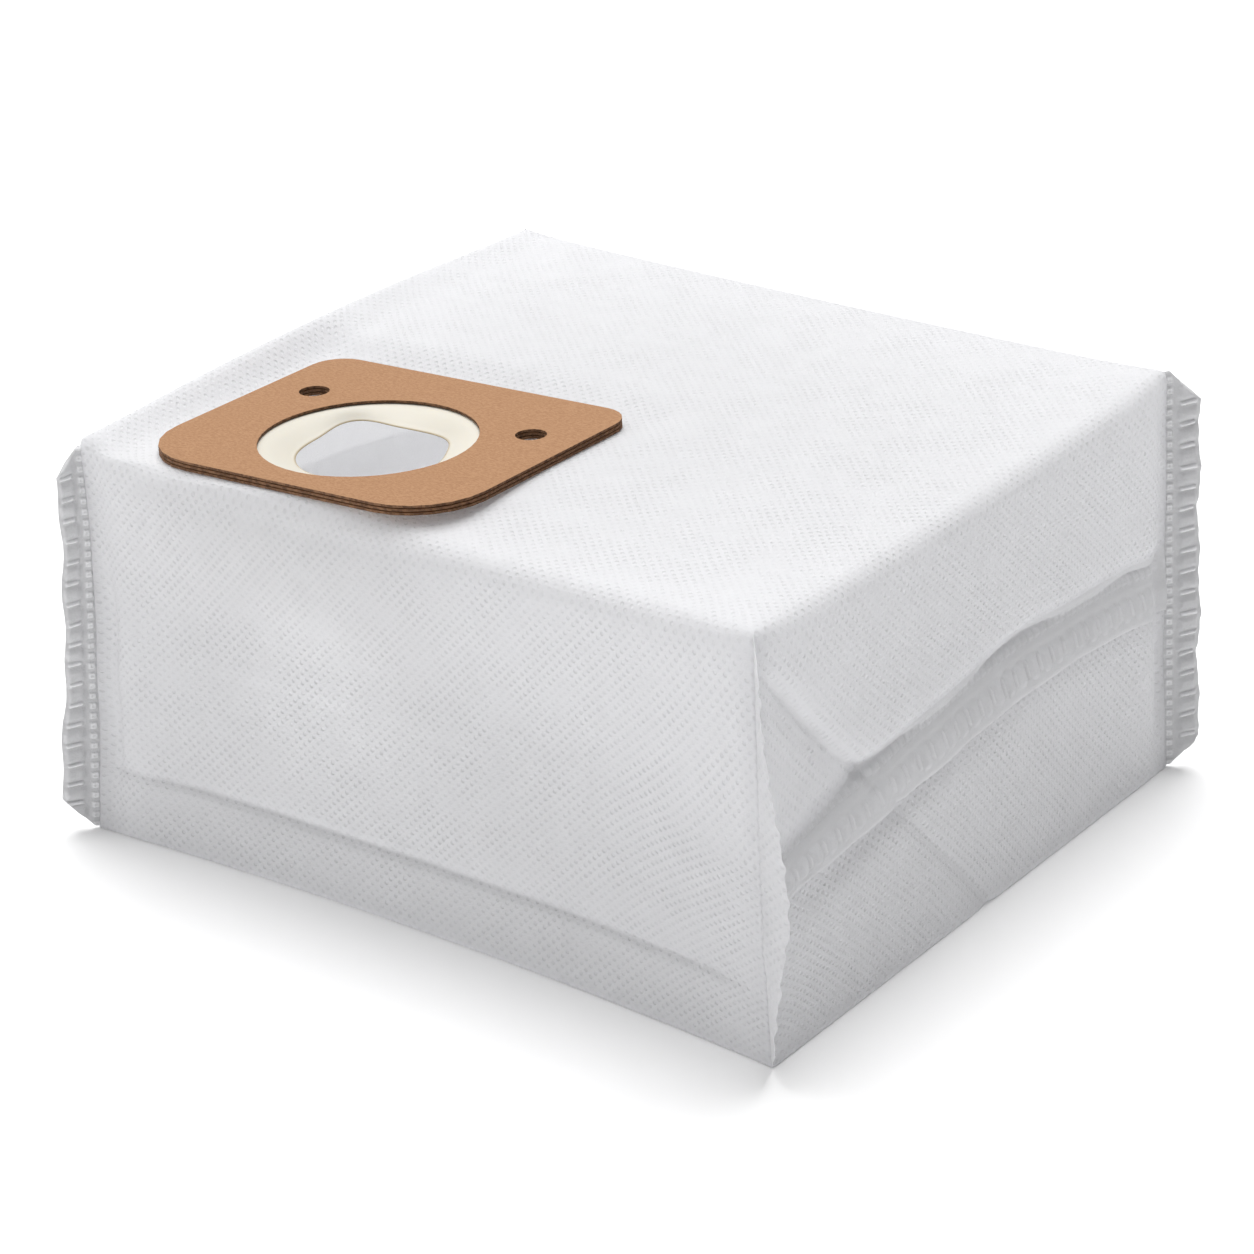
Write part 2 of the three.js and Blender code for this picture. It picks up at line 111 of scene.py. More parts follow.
FOLD_GROOVE = 0.8
FOLD_GROOVE_AT = -0.8
FOLD_GROOVE_SPREAD = 1.4
LIFT_DEPTH = 1.3  # the dent under the flange's free edge
LIFT_BELOW_SEAM = 17
LIFT_HEIGHT = 4
LIFT_PLACE = -42
LIFT_SPREAD = 38

# Welded corner flanges
FLANGE_HOLD = 4.5  # how far it reaches into the bag
FLANGE_REACH = 7.2
FLANGE_HALF = 0.42  # half the thickness
FLANGE_WAVE = 0.5
FLANGE_WAVE_LENGTH = 33.0
FLANGE_FOOT = 0.6
FLANGE_RUFFLES = ((0.35, 7.3), (0.25, 4.1))  # height and length
FLANGE_RAGS = ((0.3, 2.9), (0.15, 6.7))  # of its free edge
FLANGE_RIM = 1.3  # the band in which it thins out towards that edge
FLANGE_RIM_THINS = 0.9
FLANGE_TIP = 0.006  # the share of the length in which its ends thin out
FLANGE_TIP_HALF = 0.15
FLANGE_ROWS = 381
FLANGE_STEP = 0.34
SHORTER_TOP = 1.8  # the front left flange is cut lower
NARROWER = 1.6  # and narrower, above its foot
NARROWER_FROM = (15, 50)
LIP_HALF = 0.2
LIP_BEND = 5.2
LIP_BEND_HEIGHT = 40
LIP_BEND_SPREADS = (30, 20)  # above that height and below it
LIP_SET_BACK = 1
LIP_RUFFLE_SHARE = 0.6
LIP_ROOT = 1.3
LIP_ROOT_HEIGHT = 42
LIP_ROOT_SPREAD = 34
LIP_ROOT_CURVE = 2.8

# Welds
DOT_PITCH = 2.6
DOT_HALF = (0.8, 0.7)
DOT_EDGE = (0.8, 1.15)  # full and gone, as shares of its half size
DOT_HEIGHT = 0.5
DIMPLE_EDGE = (0.25, 0.7)
DIMPLE_DEPTH = 0.3
DIMPLE_WELD = 0.5  # how much less a dot's middle is welded
DASH_PITCH = 5.2
DASH_EDGE = (0.2, 0.55)
DASH_END = (-0.3, 0.2)
DASH_HEIGHT = 0.75
PUFF_RISE = (0.3, 2.2)
PUFF_END = (-0.5, 1.2)
PUFF_HEIGHT = 1.0
DOTS_AT = -0.3
DASH_REACH = (2.4, 6.2)
DASH_SLANT = 0.17

# The flanges of the end seams, in distances down from the seam and along it
SEAM_DOTS_AT = 3.0
SEAM_DASH_REACH = (7.2, 10.4)
SEAM_ENDS = (0.2, 1.4)  # how far it stops short of the panel's edges
SEAM_ROWS = 521
SEAM_STEP = 0.42
SEAM_HELD = 1.5  # how far it starts above the seam, inside the bag
SEAM_HALF = 0.45
SEAM_RELIEF = 1.1
SEAM_WELDS_AND_HIGHLIGHT = (0.3, 0.2)  # how white its welds are, partly a painted highlight of their gloss, and the painted highlight along its free edge
# The width of the painted highlight along the free edge.
SEAM_HIGHLIGHT_BAND = 0.8
SEAM_RIDGE = 0.3
SEAM_RIDGE_AT = 5.3
SEAM_RIDGE_SPREAD = 0.8
SEAM_CURLS = ((0.25, 9.0, 0), (0.15, 3.7, 1))  # height, length and phase
SEAM_STAND = (0.1, 1.4)  # at its root and at its free edge
SEAM_LIFT = 1.2  # the free edge stands off further in one place
SEAM_LIFT_PLACE = -40
SEAM_LIFT_SPREAD = 34
SEAM_OUT = 0.5
SEAM_EDGE_FROM = 0.93
SEAM_EDGE_THINS = 0.8
SEAM_TIPS = (0.2, 1.6)
ROOT_LEFT = 0.9  # how deep the root lies on the left end
ROOT_RIGHT = (1.4, 2.2)  # and on the right one, away from the facet and under it
ROOT_FADES = (3.5, 9)  # how far down, away from the facet and under it
FACET_SIDE = (-62, -44)  # where the facet gives way to the tongue
PRESSED_FROM = (66, 84)  # where it starts to be pressed flat, and is
PRESSED_SHARE = 0.7
LONGER = 0.15  # it hangs lower past its first stretch
LONGER_FROM = (-60, -15)
SHORTER = 0.22  # and less low at its first corner
SHORTER_FROM = (50, 85)

# Beside each corner flange the panels are pulled in, and puff out further on
PULL = 1.7
PULL_AT = 4.6
PULL_SPREAD = 2.9
PUFF = 1.1
PUFF_AT = 13
PUFF_SPREAD = 5
PINCH_LEVELS = (0.3, 0.9)  # everywhere, and what is added at its fullest
PINCH_HEIGHT = 38
PINCH_SPREAD = 26
PINCH_FOOT = (-1, 5)
PINCH_TOP = (0, 12)
PINCH_RIPPLE = 0.25
PINCH_RIPPLE_RUN = 5.3
AROUND_CORNER = (1, 8)  # what is done beside a corner fades out round it

DENTS = ((0.75, 34, 1), (0.3, 13, 2))  # depth, size and seed of each noise
DENTS_FREE = (2, 16)  # distances from a panel's edge
DENTS_HELD_BY_COLLAR = 0.8

# The collar, with the sizes and the place that it has in the part
INLET = np.array([58.4 - HALF_LENGTH, 33.4 - HALF_WIDTH])
INLET_RADIUS = 25.1
UNDERSIDE = HEIGHT - 0.25
TILT = math.radians(3.2)
NOD = math.radians(0.53)
COLLAR_LENGTH = 88.5
COLLAR_WIDTH = 73.7
COLLAR_BACK = 41.7
CARD_THICKNESS = 0.55
GLUE_GAP = 0.3
NECK_RADIUS = INLET_RADIUS + 2.0
GLUE_RING = 5.0
GLUE_FADE = 20.0
GLUE_REACH = 2.0
PRESS_MARGIN = 1.5
PRESS_FADE = 12.0

# The membrane, and its uneven opening as a circle with four lobes: degrees, height and power
MEMBRANE_MARGIN = 5.2
MEMBRANE_SAG = 2.6
MEMBRANE_SAG_FROM = 0.4  # inside the inlet's edge
MEMBRANE_SAG_FULL = 1.15  # in shares of the way from there to the opening
MEMBRANE_HALF = (0.22, 0.07)  # at the cards and at the opening
MEMBRANE_THINS_FROM = 0.8
MEMBRANE_WAVE = 0.25
MEMBRANE_WAVES = 3
MEMBRANE_WAVE_FROM = 0.6
MEMBRANE_EDGE_BAND = (0.955, 0.99)
OPENING_RADIUS = 16.4
OPENING_LOBES = ((139, 4.7, 14), (-8, 2.7, 6), (55, 1.7, 10), (-95, 1.4, 6))


def lerp(a, b, t):
    return a + (b - a) * t


def smoothstep(value, low, high):
    t = np.clip((value - low) / (high - low), 0, 1)
    return t * t * (3 - 2 * t)


def arch(share):
    return 1 - share * share


def bump(distance, spread):
    return np.exp(-((distance / spread) ** 2))


def near_face(distance, half):
    """From 0 in the bag's middle to 1 at one of its faces."""
    return smoothstep(np.abs(distance) / half, *FACE_SETS_IN)


def lean(p):
    """How the corners of the bag lie off those of a true box, shared out over the points between them."""
    across = np.clip(0.5 + p[:, 0] / (2 * HALF_LENGTH), 0, 1)[:, None]
    along = np.clip(0.5 + p[:, 1] / (2 * HALF_WIDTH), 0, 1)[:, None]
    up = np.clip(p[:, 2] / HEIGHT, 0, 1)[:, None]
    fl, fr, bl, br = (lerp(BASE_OFFSETS[i], TOP_OFFSETS[i], up) for i in range(4))
    fl = fl + TOP_LEFT_TURN * smoothstep(up, TOP_LEFT_TURN_FROM, 1)
    return lerp(lerp(fl, fr, across), lerp(bl, br, across), along)


def seam_height(end, y):
    """Height of an end seam, which is curved and highest a little off its middle."""
    share = np.clip(end * y / HALF_WIDTH, -1, 1)
    return SEAM_HEIGHT - SEAM_FALL * (share - SEAM_PEAK) ** 2


def right_of_fold(end, y, z):
    """Distance from the diagonal along which the tongue of cloth is folded."""
    run = np.subtract(FOLD_FOOT, FOLD_HEAD) / math.dist(FOLD_FOOT, FOLD_HEAD)
    return (end * y - FOLD_HEAD[0]) * -run[1] + (z - FOLD_HEAD[1]) * run[0]


def within_tongue(end, y, z):
    """Distance inside the tongue's outline, over the seam and right of the fold, with a rounded tip."""
    share = np.clip(end * y / HALF_WIDTH, -1, 1)
    ripple = TONGUE_RIPPLE * np.sin(end * y / TONGUE_RIPPLE_RUN) * arch(share)
    over_seam = z - seam_height(end, y) + TONGUE_OVERHANG - ripple
    both = np.exp(-over_seam / TIP_ROUND) + np.exp(-right_of_fold(end, y, z) / TIP_ROUND)
    return TONGUE_MARGIN - TIP_ROUND * np.log(both)


def facet_creases(end, y, z):
    """Wrinkles that run beside the fold, and the groove along it."""
    beyond = right_of_fold(end, y, z)
    wrinkled = bump(beyond - WRINKLES_AT, WRINKLES_SPREAD) * smoothstep(z, *WRINKLE_HEIGHTS)
    wrinkles = WRINKLE_DEPTH * np.sin(2 * np.pi * beyond / WRINKLE_PITCH) * wrinkled
    return wrinkles - FOLD_GROOVE * bump(beyond - FOLD_GROOVE_AT, FOLD_GROOVE_SPREAD)


def folded_end(end, y, z):
    """The right end: a tongue that stands off, the panel below it with a dent, and the tucked facet."""
    share = np.clip(end * y / HALF_WIDTH, -1, 1)
    seam = seam_height(end, y)
    within = np.maximum(within_tongue(end, y, z), 0)
    tongue = TONGUE_STAND * arch(share ** 4) * (1 - np.exp(-within / TONGUE_EDGE))
    below = END_SWELL / 3 * arch(share) * np.sin(np.pi * np.clip(z / seam, 0, 1))
    dent = bump(seam - z - LIFT_BELOW_SEAM, LIFT_HEIGHT) * bump(end * y - LIFT_PLACE, LIFT_SPREAD)
    tucked = FACET_DEPTH * np.exp(-within / TUCK) * (1 - smoothstep(seam - z, *FACET_FADES))
    fade = smoothstep(1 + share, 0, FACET_ENDS[0]) * smoothstep(1 - share, 0, FACET_ENDS[1])
    fade = fade * smoothstep(HEIGHT - z, *FACET_TOP)
    return tongue + below - LIFT_DEPTH * dent + (facet_creases(end, y, z) - tucked) * fade


def end_swell(end, y, z):
    """The right end has a tongue of cloth over its seam, beside a flat facet. The left end is plain."""
    share = np.clip(end * y / HALF_WIDTH, -1, 1)
    plain = END_SWELL * arch(share ** 2) * np.sin(np.pi * np.clip(z / HEIGHT, 0, 1)) ** 0.8
    return np.where(end > 0, folded_end(end, y, z), plain)


def side_swell(side, x, z):
    """Both sides are hollow. The front has a crease near its foot, and a full shoulder under the collar."""
    share = np.clip(x / HALF_LENGTH, -1, 1)
    back = SIDE_HOLLOW * arch(share) * lerp(1, 0.5, np.clip(z / HEIGHT, 0, 1))
    hollow = SIDE_HOLLOW * arch(share) * (1 - smoothstep(z, *FRONT_HOLLOW_FADES))
    above = z - CREASE_HEIGHT
    down = np.clip(z / CREASE_HEIGHT, 0, 1) ** CREASE_FALL
    dip = CREASE_DEPTH * np.where(above > 0, bump(above, CREASE_SPREAD), down)
    crease = (dip + CREASE_GROOVE * bump(above, GROOVE_SPREAD)) * arch(share ** 4)
    fullness = SHOULDER + SHOULDER_UNDER_COLLAR * bump(x - SHOULDER_PLACE, SHOULDER_SPREAD)
    shoulder = fullness * arch(share ** 4) * smoothstep(z, *SHOULDER_HEIGHTS)
    return np.where(side < 0, shoulder - hollow - crease, -back)


def top_swell(x, y):
    """The top is crowned. Its front and right edges sag between their corners, and the left one rises."""
    across = np.clip(x / HALF_LENGTH, -1, 1)
    along = np.clip(y / HALF_WIDTH, -1, 1)
    front = smoothstep(-along, SAG_FROM, 1) * arch(across)
    right = RIGHT_SAG_SHARE * smoothstep(across, SAG_FROM, 1) * arch(along)
    left = smoothstep(-across, LEFT_RISE_FROM, 1) * arch(along)
    crown = TOP_CROWN * arch(across) * arch(along)
    return crown - TOP_EDGE_SAG * np.maximum(front, right) + LEFT_EDGE_RISE * left


def collar_underside(x, y):
    return UNDERSIDE + (x - INLET[0]) * math.tan(TILT) - (y - INLET[1]) * math.tan(NOD)


def glued_to_collar(x, y):
    """1 where the top is glued to the collar round the neck, and 0 away from it."""
    past_ring = np.hypot(x - INLET[0], y - INLET[1]) - NECK_RADIUS - GLUE_RING
    return 1 - smoothstep(past_ring, 0, GLUE_FADE)


def under_collar(x, y):
    """1 where the collar presses on the top, and 0 away from it."""
    out_x = np.abs(x - INLET[0]) - COLLAR_LENGTH / 2
    out_y = np.maximum(y - INLET[1] - COLLAR_BACK, INLET[1] + COLLAR_BACK - COLLAR_WIDTH - y)
    return 1 - smoothstep(np.maximum(out_x, out_y), PRESS_MARGIN, PRESS_MARGIN + PRESS_FADE)


def lip_root(z):
    """How far the front panel comes forward where it runs into the near corner's flange."""
    return LIP_ROOT * bump(z - LIP_ROOT_HEIGHT, LIP_ROOT_SPREAD)


def corner_pinch(x, y, z):
    """Beside each corner flange the welds draw the panels in, and the cloth puffs out a little further on.

    The near corner has no welds that show. There the front panel curves out into the flange instead.
    """
    end, side = np.sign(x), np.sign(y)
    in_x, in_y = HALF_LENGTH - np.abs(x), HALF_WIDTH - np.abs(y)
    near_corner = (x > 0) & (y < 0)
    level = smoothstep(z, *PINCH_FOOT) * smoothstep(HEIGHT - z, *PINCH_TOP) * ~near_corner
    level = level * (PINCH_LEVELS[0] + PINCH_LEVELS[1] * bump(z - PINCH_HEIGHT, PINCH_SPREAD))
    level = level * (1 + PINCH_RIPPLE * np.sin(z / PINCH_RIPPLE_RUN + 2 * end + side))
    away = np.maximum(in_x, 0) + np.maximum(in_y, 0)
    pull = PULL * level * bump(away - PULL_AT, PULL_SPREAD)
    beside_x = 1 - smoothstep(in_x, *AROUND_CORNER)
    beside_y = 1 - smoothstep(in_y, *AROUND_CORNER)
    out_x = PUFF * level * bump(in_y - PUFF_AT, PUFF_SPREAD) * beside_x
    out_y = PUFF * level * bump(in_x - PUFF_AT, PUFF_SPREAD) * beside_y
    curve = np.exp(-np.maximum(in_x, 0) / LIP_ROOT_CURVE) * near_corner
    out_y = out_y + curve * lip_root(z) * beside_y
    return np.stack([end * (out_x - pull), side * (out_y - pull)], axis=1)


def undulation(x, y, z):
    """Slight dents and swells in the free part of each panel, along the way that panel faces."""
    in_x, in_y = HALF_LENGTH - np.abs(x), HALF_WIDTH - np.abs(y)
    in_z = np.minimum(z, HEIGHT - z)
    upper = z > HEIGHT / 2
    p = np.stack([x, y, z], axis=1)
    dent = sum(depth * noise_at(p, size, seed) for depth, size, seed in DENTS)
    nearest, second = np.sort(np.stack([in_x, in_y, in_z]), axis=0)[:2]
    free = dent * smoothstep(second, *DENTS_FREE)
    free = free * (1 - DENTS_HELD_BY_COLLAR * under_collar(x, y) * upper)
    return np.stack([
        np.sign(x) * free * (in_x == nearest),
        np.sign(y) * free * (in_y == nearest),
        free * upper * (in_z == nearest),
    ], axis=1)


def soften(p, pinched=False):
    """Moves points of the true box to their places on the soft bag."""
    x, y, z = p.T
    end = np.where(x < 0, -1, 1)
    side = np.where(y < 0, -1, 1)
    near_top = near_face(np.clip(z, 0, HEIGHT), HEIGHT)
    shift = np.stack([
        near_face(x, HALF_LENGTH) * end * end_swell(end, y, z),
        near_face(y, HALF_WIDTH) * side * side_swell(side, x, z),
        near_top * top_swell(x, y),
    ], axis=1)
    out = p + shift + lean(p)
    if pinched:
        out[:, :2] += corner_pinch(x, y, z)
        out += undulation(x, y, z)
    ceiling = collar_underside(out[:, 0], out[:, 1]) - GLUE_GAP
    reached = 1 - smoothstep(ceiling - out[:, 2], GLUE_REACH, 2 * GLUE_REACH)
    glued = near_top * reached * glued_to_collar(out[:, 0], out[:, 1])
    out[:, 2] = lerp(out[:, 2], ceiling, glued)
    pressed = near_top * under_collar(out[:, 0], out[:, 1])
    out[:, 2] = lerp(out[:, 2], np.minimum(out[:, 2], ceiling), pressed)
    return out


def round_edge(a, b, radius):
    """Distances from two faces, with points near both drawn onto a rounded edge."""
    out_a = radius - a
    out_b = radius - b
    near = (out_a > 0) & (out_b > 0)
    pull = np.maximum(out_a, out_b) / np.maximum(np.hypot(out_a, out_b), 1e-9)
    return np.where(near, radius - out_a * pull, a), np.where(near, radius - out_b * pull, b)


def round_box(p):
    """Rounds the edges of the true box. The radii change to that of the corners near them."""
    x, y, z = p.T
    near_x = np.minimum(np.abs(x) / HALF_LENGTH, 1) ** 8
    near_y = np.minimum(np.abs(y) / HALF_WIDTH, 1) ** 8
    along_y = lerp(np.where(x > 0, RIGHT_EDGE_RADIUS, BACK_EDGE_RADIUS), CORNER_RADIUS, near_y)
    front = lerp(*FRONT_EDGE_RADII, smoothstep(x, *FRONT_EDGE_CHANGE))
    along_x = lerp(np.where(y < 0, front, BACK_EDGE_RADIUS), CORNER_RADIUS, near_x)
    upper = z > HEIGHT / 2
    in_x = HALF_LENGTH - np.abs(x)
    in_y = HALF_WIDTH - np.abs(y)
    in_z = np.where(upper, HEIGHT - z, z)
    in_x, in_y = round_edge(in_x, in_y, np.where((x > 0) & (y < 0), NEAR_CORNER_RADIUS, CORNER_RADIUS))
    in_x, in_z = round_edge(in_x, in_z, np.where(upper, along_y, BASE_EDGE_RADIUS))
    in_y, in_z = round_edge(in_y, in_z, np.where(upper, along_x, BASE_EDGE_RADIUS))
    return np.stack([
        np.sign(x) * (HALF_LENGTH - in_x),
        np.sign(y) * (HALF_WIDTH - in_y),
        np.where(upper, HEIGHT - in_z, in_z),
    ], axis=1)


def follow_seam(p):
    """Bends the level grid lines of both ends so that one of them runs along the seam."""
    end = np.where(p[:, 0] < 0, -1, 1)
    share = np.minimum(p[:, 2] / SEAM_LEVEL, (HEIGHT - p[:, 2]) / (HEIGHT - SEAM_LEVEL))
    out = p.copy()
    out[:, 2] += near_face(p[:, 0], HALF_LENGTH) * share * (seam_height(end, p[:, 1]) - SEAM_LEVEL)
    return out


def noise_at(p, size, seed):
    """Smooth noise from about -1 to 1 at each point, with features of a size in millimetres."""
    offset = Vector((17.3 * seed, -9.1 * seed, 5.7 * seed))
    return np.array([noise.noise(Vector(q) / size + offset) for q in p])


def grid_lines(low, high, margin, fine, coarse):
    """Grid lines from low to high, closer together within a margin of both ends."""
    edge = np.arange(0, margin, fine)
    steps = round((high - low - 2 * margin) / coarse)
    middle = np.linspace(low + margin, high - margin, steps + 1)
    return np.concatenate([low + edge, middle, (high - edge)[::-1]])


def arc_along(points):
    """Lengths along the lines of a grid of points, measured on its middle lines."""
    middle = points[:, points.shape[1] // 4 : -points.shape[1] // 4]
    steps = np.linalg.norm(np.diff(middle, axis=0), axis=2).mean(axis=1)
    return np.concatenate([[0], np.cumsum(steps)])


# The grid's margins beside the edges, with its steps in them and between them
X_STEPS = (22, 1.1, 1.9)
Y_STEPS = (34, 1.4, 1.9)
UPPER_STEPS = (13, 1.1, 1.4)  # above the seam
CREASE_BAND = 3
LINES_TO_CREASE = 12
LINES_ACROSS_CREASE = 13
LINES_TO_SEAM = 28


def box_grid():
    """Points of the whole box on a grid that is finer beside its edges, its crease and its seams."""
    xs = grid_lines(-HALF_LENGTH, HALF_LENGTH, *X_STEPS)
    ys = grid_lines(-HALF_WIDTH, HALF_WIDTH, *Y_STEPS)
    zs = np.concatenate([
        np.linspace(0, CREASE_HEIGHT - CREASE_BAND, LINES_TO_CREASE),
        CREASE_HEIGHT + np.linspace(-CREASE_BAND, CREASE_BAND, LINES_ACROSS_CREASE)[1:],
        np.linspace(CREASE_HEIGHT + CREASE_BAND, SEAM_LEVEL, LINES_TO_SEAM)[1:],
        SEAM_LEVEL + grid_lines(0, HEIGHT - SEAM_LEVEL, *UPPER_STEPS)[1:],
    ])
    return np.stack(np.meshgrid(xs, ys, zs, indexing="ij"), axis=-1)


def box_panels(placed):
    """The six panels of a grid: their points' indices, the cloth's coordinates, and if they are flipped."""
    index = np.arange(placed[..., 0].size).reshape(placed.shape[:3])
    x_arc = arc_along(placed[:, :, -1])
    y_arc = arc_along(placed[:, :, -1].transpose(1, 0, 2))
    z_arc = arc_along(placed[:, 0].transpose(1, 0, 2))
    drop = z_arc[-1] - z_arc
    cloth_x, cloth_y = np.meshgrid(x_arc, y_arc, indexing="ij")
    side_x, side_drop = np.meshgrid(x_arc, drop, indexing="ij")
    end_y, end_drop = np.meshgrid(y_arc, drop, indexing="ij")
    return [
        (index[:, :, -1], cloth_x, cloth_y, False),
        (index[:, :, 0], cloth_x, -drop[0] - cloth_y, True),
        (index[:, 0], side_x, -side_drop, False),
        (index[:, -1], side_x, y_arc[-1] + side_drop, True),
        (index[-1], x_arc[-1] + end_drop, end_y, False),
        (index[0], -end_drop, end_y, True),
    ]


def box_surface():
    """The bag's outer surface: points, quads, and the cloth's own coordinates at each quad's corners."""
    grid = box_grid()
    outer = np.zeros(grid.shape[:3], bool)
    for axis in range(3):
        for at in (0, -1):
            outer[(slice(None),) * axis + (at,)] = True
    flat = grid.reshape(-1, 3)
    used = np.flatnonzero(outer.ravel())
    placed = np.zeros_like(flat)
    placed[used] = soften(follow_seam(round_box(flat[used])), pinched=True)

    low, high = slice(None, -1), slice(1, None)
    quads, cloth = [], []
    for keys, u, v, flip in box_panels(placed.reshape(grid.shape)):
        corners = [(low, low), (high, low), (high, high), (low, high)]
        corners = corners[::-1] if flip else corners
        quads.append(np.stack([keys[c].ravel() for c in corners], axis=1))
        cloth.append(np.stack([np.stack([u[c].ravel(), v[c].ravel()], axis=1) for c in corners], axis=1))
    quads, cloth = np.concatenate(quads), np.concatenate(cloth)
    position = np.zeros(len(flat), int)
    position[used] = np.arange(len(used))
    points, quads = placed[used], position[quads]

    # The two layers of cloth end in each seam, so what lies below it has its own points there
    box = flat[used]
    at_end = np.abs(box[:, 0]) == HALF_LENGTH
    seam = np.flatnonzero(at_end & (box[:, 2] == SEAM_LEVEL) & (np.abs(box[:, 1]) < HALF_WIDTH))
    twin = np.arange(len(points))
    twin[seam] = len(points) + np.arange(len(seam))
    below = at_end[quads].all(axis=1) & (box[quads, 2].mean(axis=1) < SEAM_LEVEL)
    quads[below] = twin[quads[below]]
    return np.concatenate([points, points[seam]]), quads, cloth


def open_neck(points, quads, cloth):
    """Cuts the round neck out of the top panel and draws the cut's edge onto a circle."""
    away = points[:, :2] - INLET
    radius = np.hypot(*away.T)
    inside = (radius < NECK_RADIUS) & (points[:, 2] > HEIGHT / 2)
    keep = ~inside[quads].all(axis=1)
    quads, cloth = quads[keep], cloth[keep]
    edge = np.unique(quads[inside[quads]])
    points[edge, :2] = INLET + away[edge] * (NECK_RADIUS / radius[edge])[:, None]
    points[edge, 2] = collar_underside(points[edge, 0], points[edge, 1]) - GLUE_GAP
    used = np.unique(quads)
    position = np.zeros(len(points), int)
    position[used] = np.arange(len(used))
    return used, position[quads], cloth


def make_object(name, points, faces, material, cloth=None, masks=None):
    """A smooth object from points in millimetres, with cloth coordinates and named values at its points."""
    mesh = bpy.data.meshes.new(name)
    mesh.from_pydata(((points + ORIGIN_SHIFT) / 1000).tolist(), [], np.asarray(faces).tolist())
    mesh.shade_smooth()
    if cloth is not None:
        layer = mesh.uv_layers.new(name="cloth")
        layer.data.foreach_set("uv", cloth.reshape(-1).astype(np.float32))
    for mask, values in (masks or {}).items():
        attribute = mesh.attributes.new(mask, "FLOAT", "POINT")
        attribute.data.foreach_set("value", values.astype(np.float32))
    mesh.materials.append(material)
    obj = bpy.data.objects.new(name, mesh)
    bpy.context.scene.collection.objects.link(obj)
    return obj


def strip_faces(rows, columns, closed=False):
    """Quads of a grid whose points run row by row. A closed one joins up along both ways."""
    index = np.arange(rows * columns).reshape(rows, columns)
    if closed:
        index = np.pad(index, ((0, 1), (0, 1)), mode="wrap")
    corners = [index[:-1, :-1], index[:-1, 1:], index[1:, 1:], index[1:, :-1]]
    return np.stack(corners, axis=-1).reshape(-1, 4)


# Materials

def new_material(name):
    material = bpy.data.materials.new(name)
    material.use_nodes = True
    nodes = material.node_tree.nodes
    return material, nodes, material.node_tree.links, nodes["Principled BSDF"]


class Graph:
    """Short names for building a node graph."""

    def __init__(self, nodes, links):
        self.nodes, self.links = nodes, links

    def put(self, target, value):
        if isinstance(value, bpy.types.NodeSocket):
            self.links.new(value, target)
        else:
            target.default_value = value

    def math(self, operation, a, b=0.0):
        node = self.nodes.new("ShaderNodeMath")
        node.operation = operation
        self.put(node.inputs[0], a)
        self.put(node.inputs[1], b)
        return node.outputs[0]

    def noise(self, vector, scale, detail=2.0, roughness=0.5):
        node = self.nodes.new("ShaderNodeTexNoise")
        self.put(node.inputs["Vector"], vector)
        node.inputs["Scale"].default_value = scale
        node.inputs["Detail"].default_value = detail
        node.inputs["Roughness"].default_value = roughness
        return node.outputs["Fac"]

    def ramp(self, value, low, high, out_low=0.0, out_high=1.0, smooth=True):
        node = self.nodes.new("ShaderNodeMapRange")
        node.interpolation_type = "SMOOTHSTEP" if smooth else "LINEAR"
        self.put(node.inputs["Value"], value)
        node.inputs["From Min"].default_value = low
        node.inputs["From Max"].default_value = high
        node.inputs["To Min"].default_value = out_low
        node.inputs["To Max"].default_value = out_high
        return node.outputs["Result"]

    def mix(self, share, a, b):
        node = self.nodes.new("ShaderNodeMix")
        node.data_type = "RGBA"
        self.put(node.inputs["Factor"], share)
        self.put(node.inputs[6], a)
        self.put(node.inputs[7], b)
        return node.outputs[2]

    def bump(self, height, distance, strength=1.0):
        node = self.nodes.new("ShaderNodeBump")
        node.inputs["Strength"].default_value = strength
        node.inputs["Distance"].default_value = distance
        self.put(node.inputs["Height"], height)
        return node.outputs["Normal"]

    def attribute(self, name):
        node = self.nodes.new("ShaderNodeAttribute")
        node.attribute_name = name
        return node.outputs["Fac"]


BOND_PITCH = 1.8  # between rows of bond dots, which run at 45 degrees
BOND_RADII = (0.13, 0.32)  # of a dot's floor and its edge, as shares of the pitch
BOND_WEAR = (0.45, 1.05)  # how faint and how full the dots are in different places
BOND_SHADE = 0.065
BOND_DEPTH = 0.18
FIBRE_DEPTH = 0.18
FABRIC_RELIEF = 0.001
WELD_HIGHLIGHT_GAIN = 0.5  # how much whiter a weld is than the cloth round it, partly a painted highlight of its gloss
CLOTH_WHITE = (0.925, 0.925, 0.94)
# The corner flanges' cloth, painted darker than the bag's: painted shade, as the flanges face away from the
# light.
FLANGE_SHADED_WHITE = (0.665, 0.665, 0.675)
# The right seam's flange, painted a little darker than the bag's cloth: painted shade under the tongue that
# overhangs it.
SEAM_SHADED_WHITE = (0.87, 0.87, 0.875)
THIN_WHITE = (0.92, 0.92, 0.92)
# The near corner's lip, painted darker than the bag's cloth: painted shade that tones down how brightly it
# is lit.
LIP_SHADED_WHITE = (0.80, 0.80, 0.81)


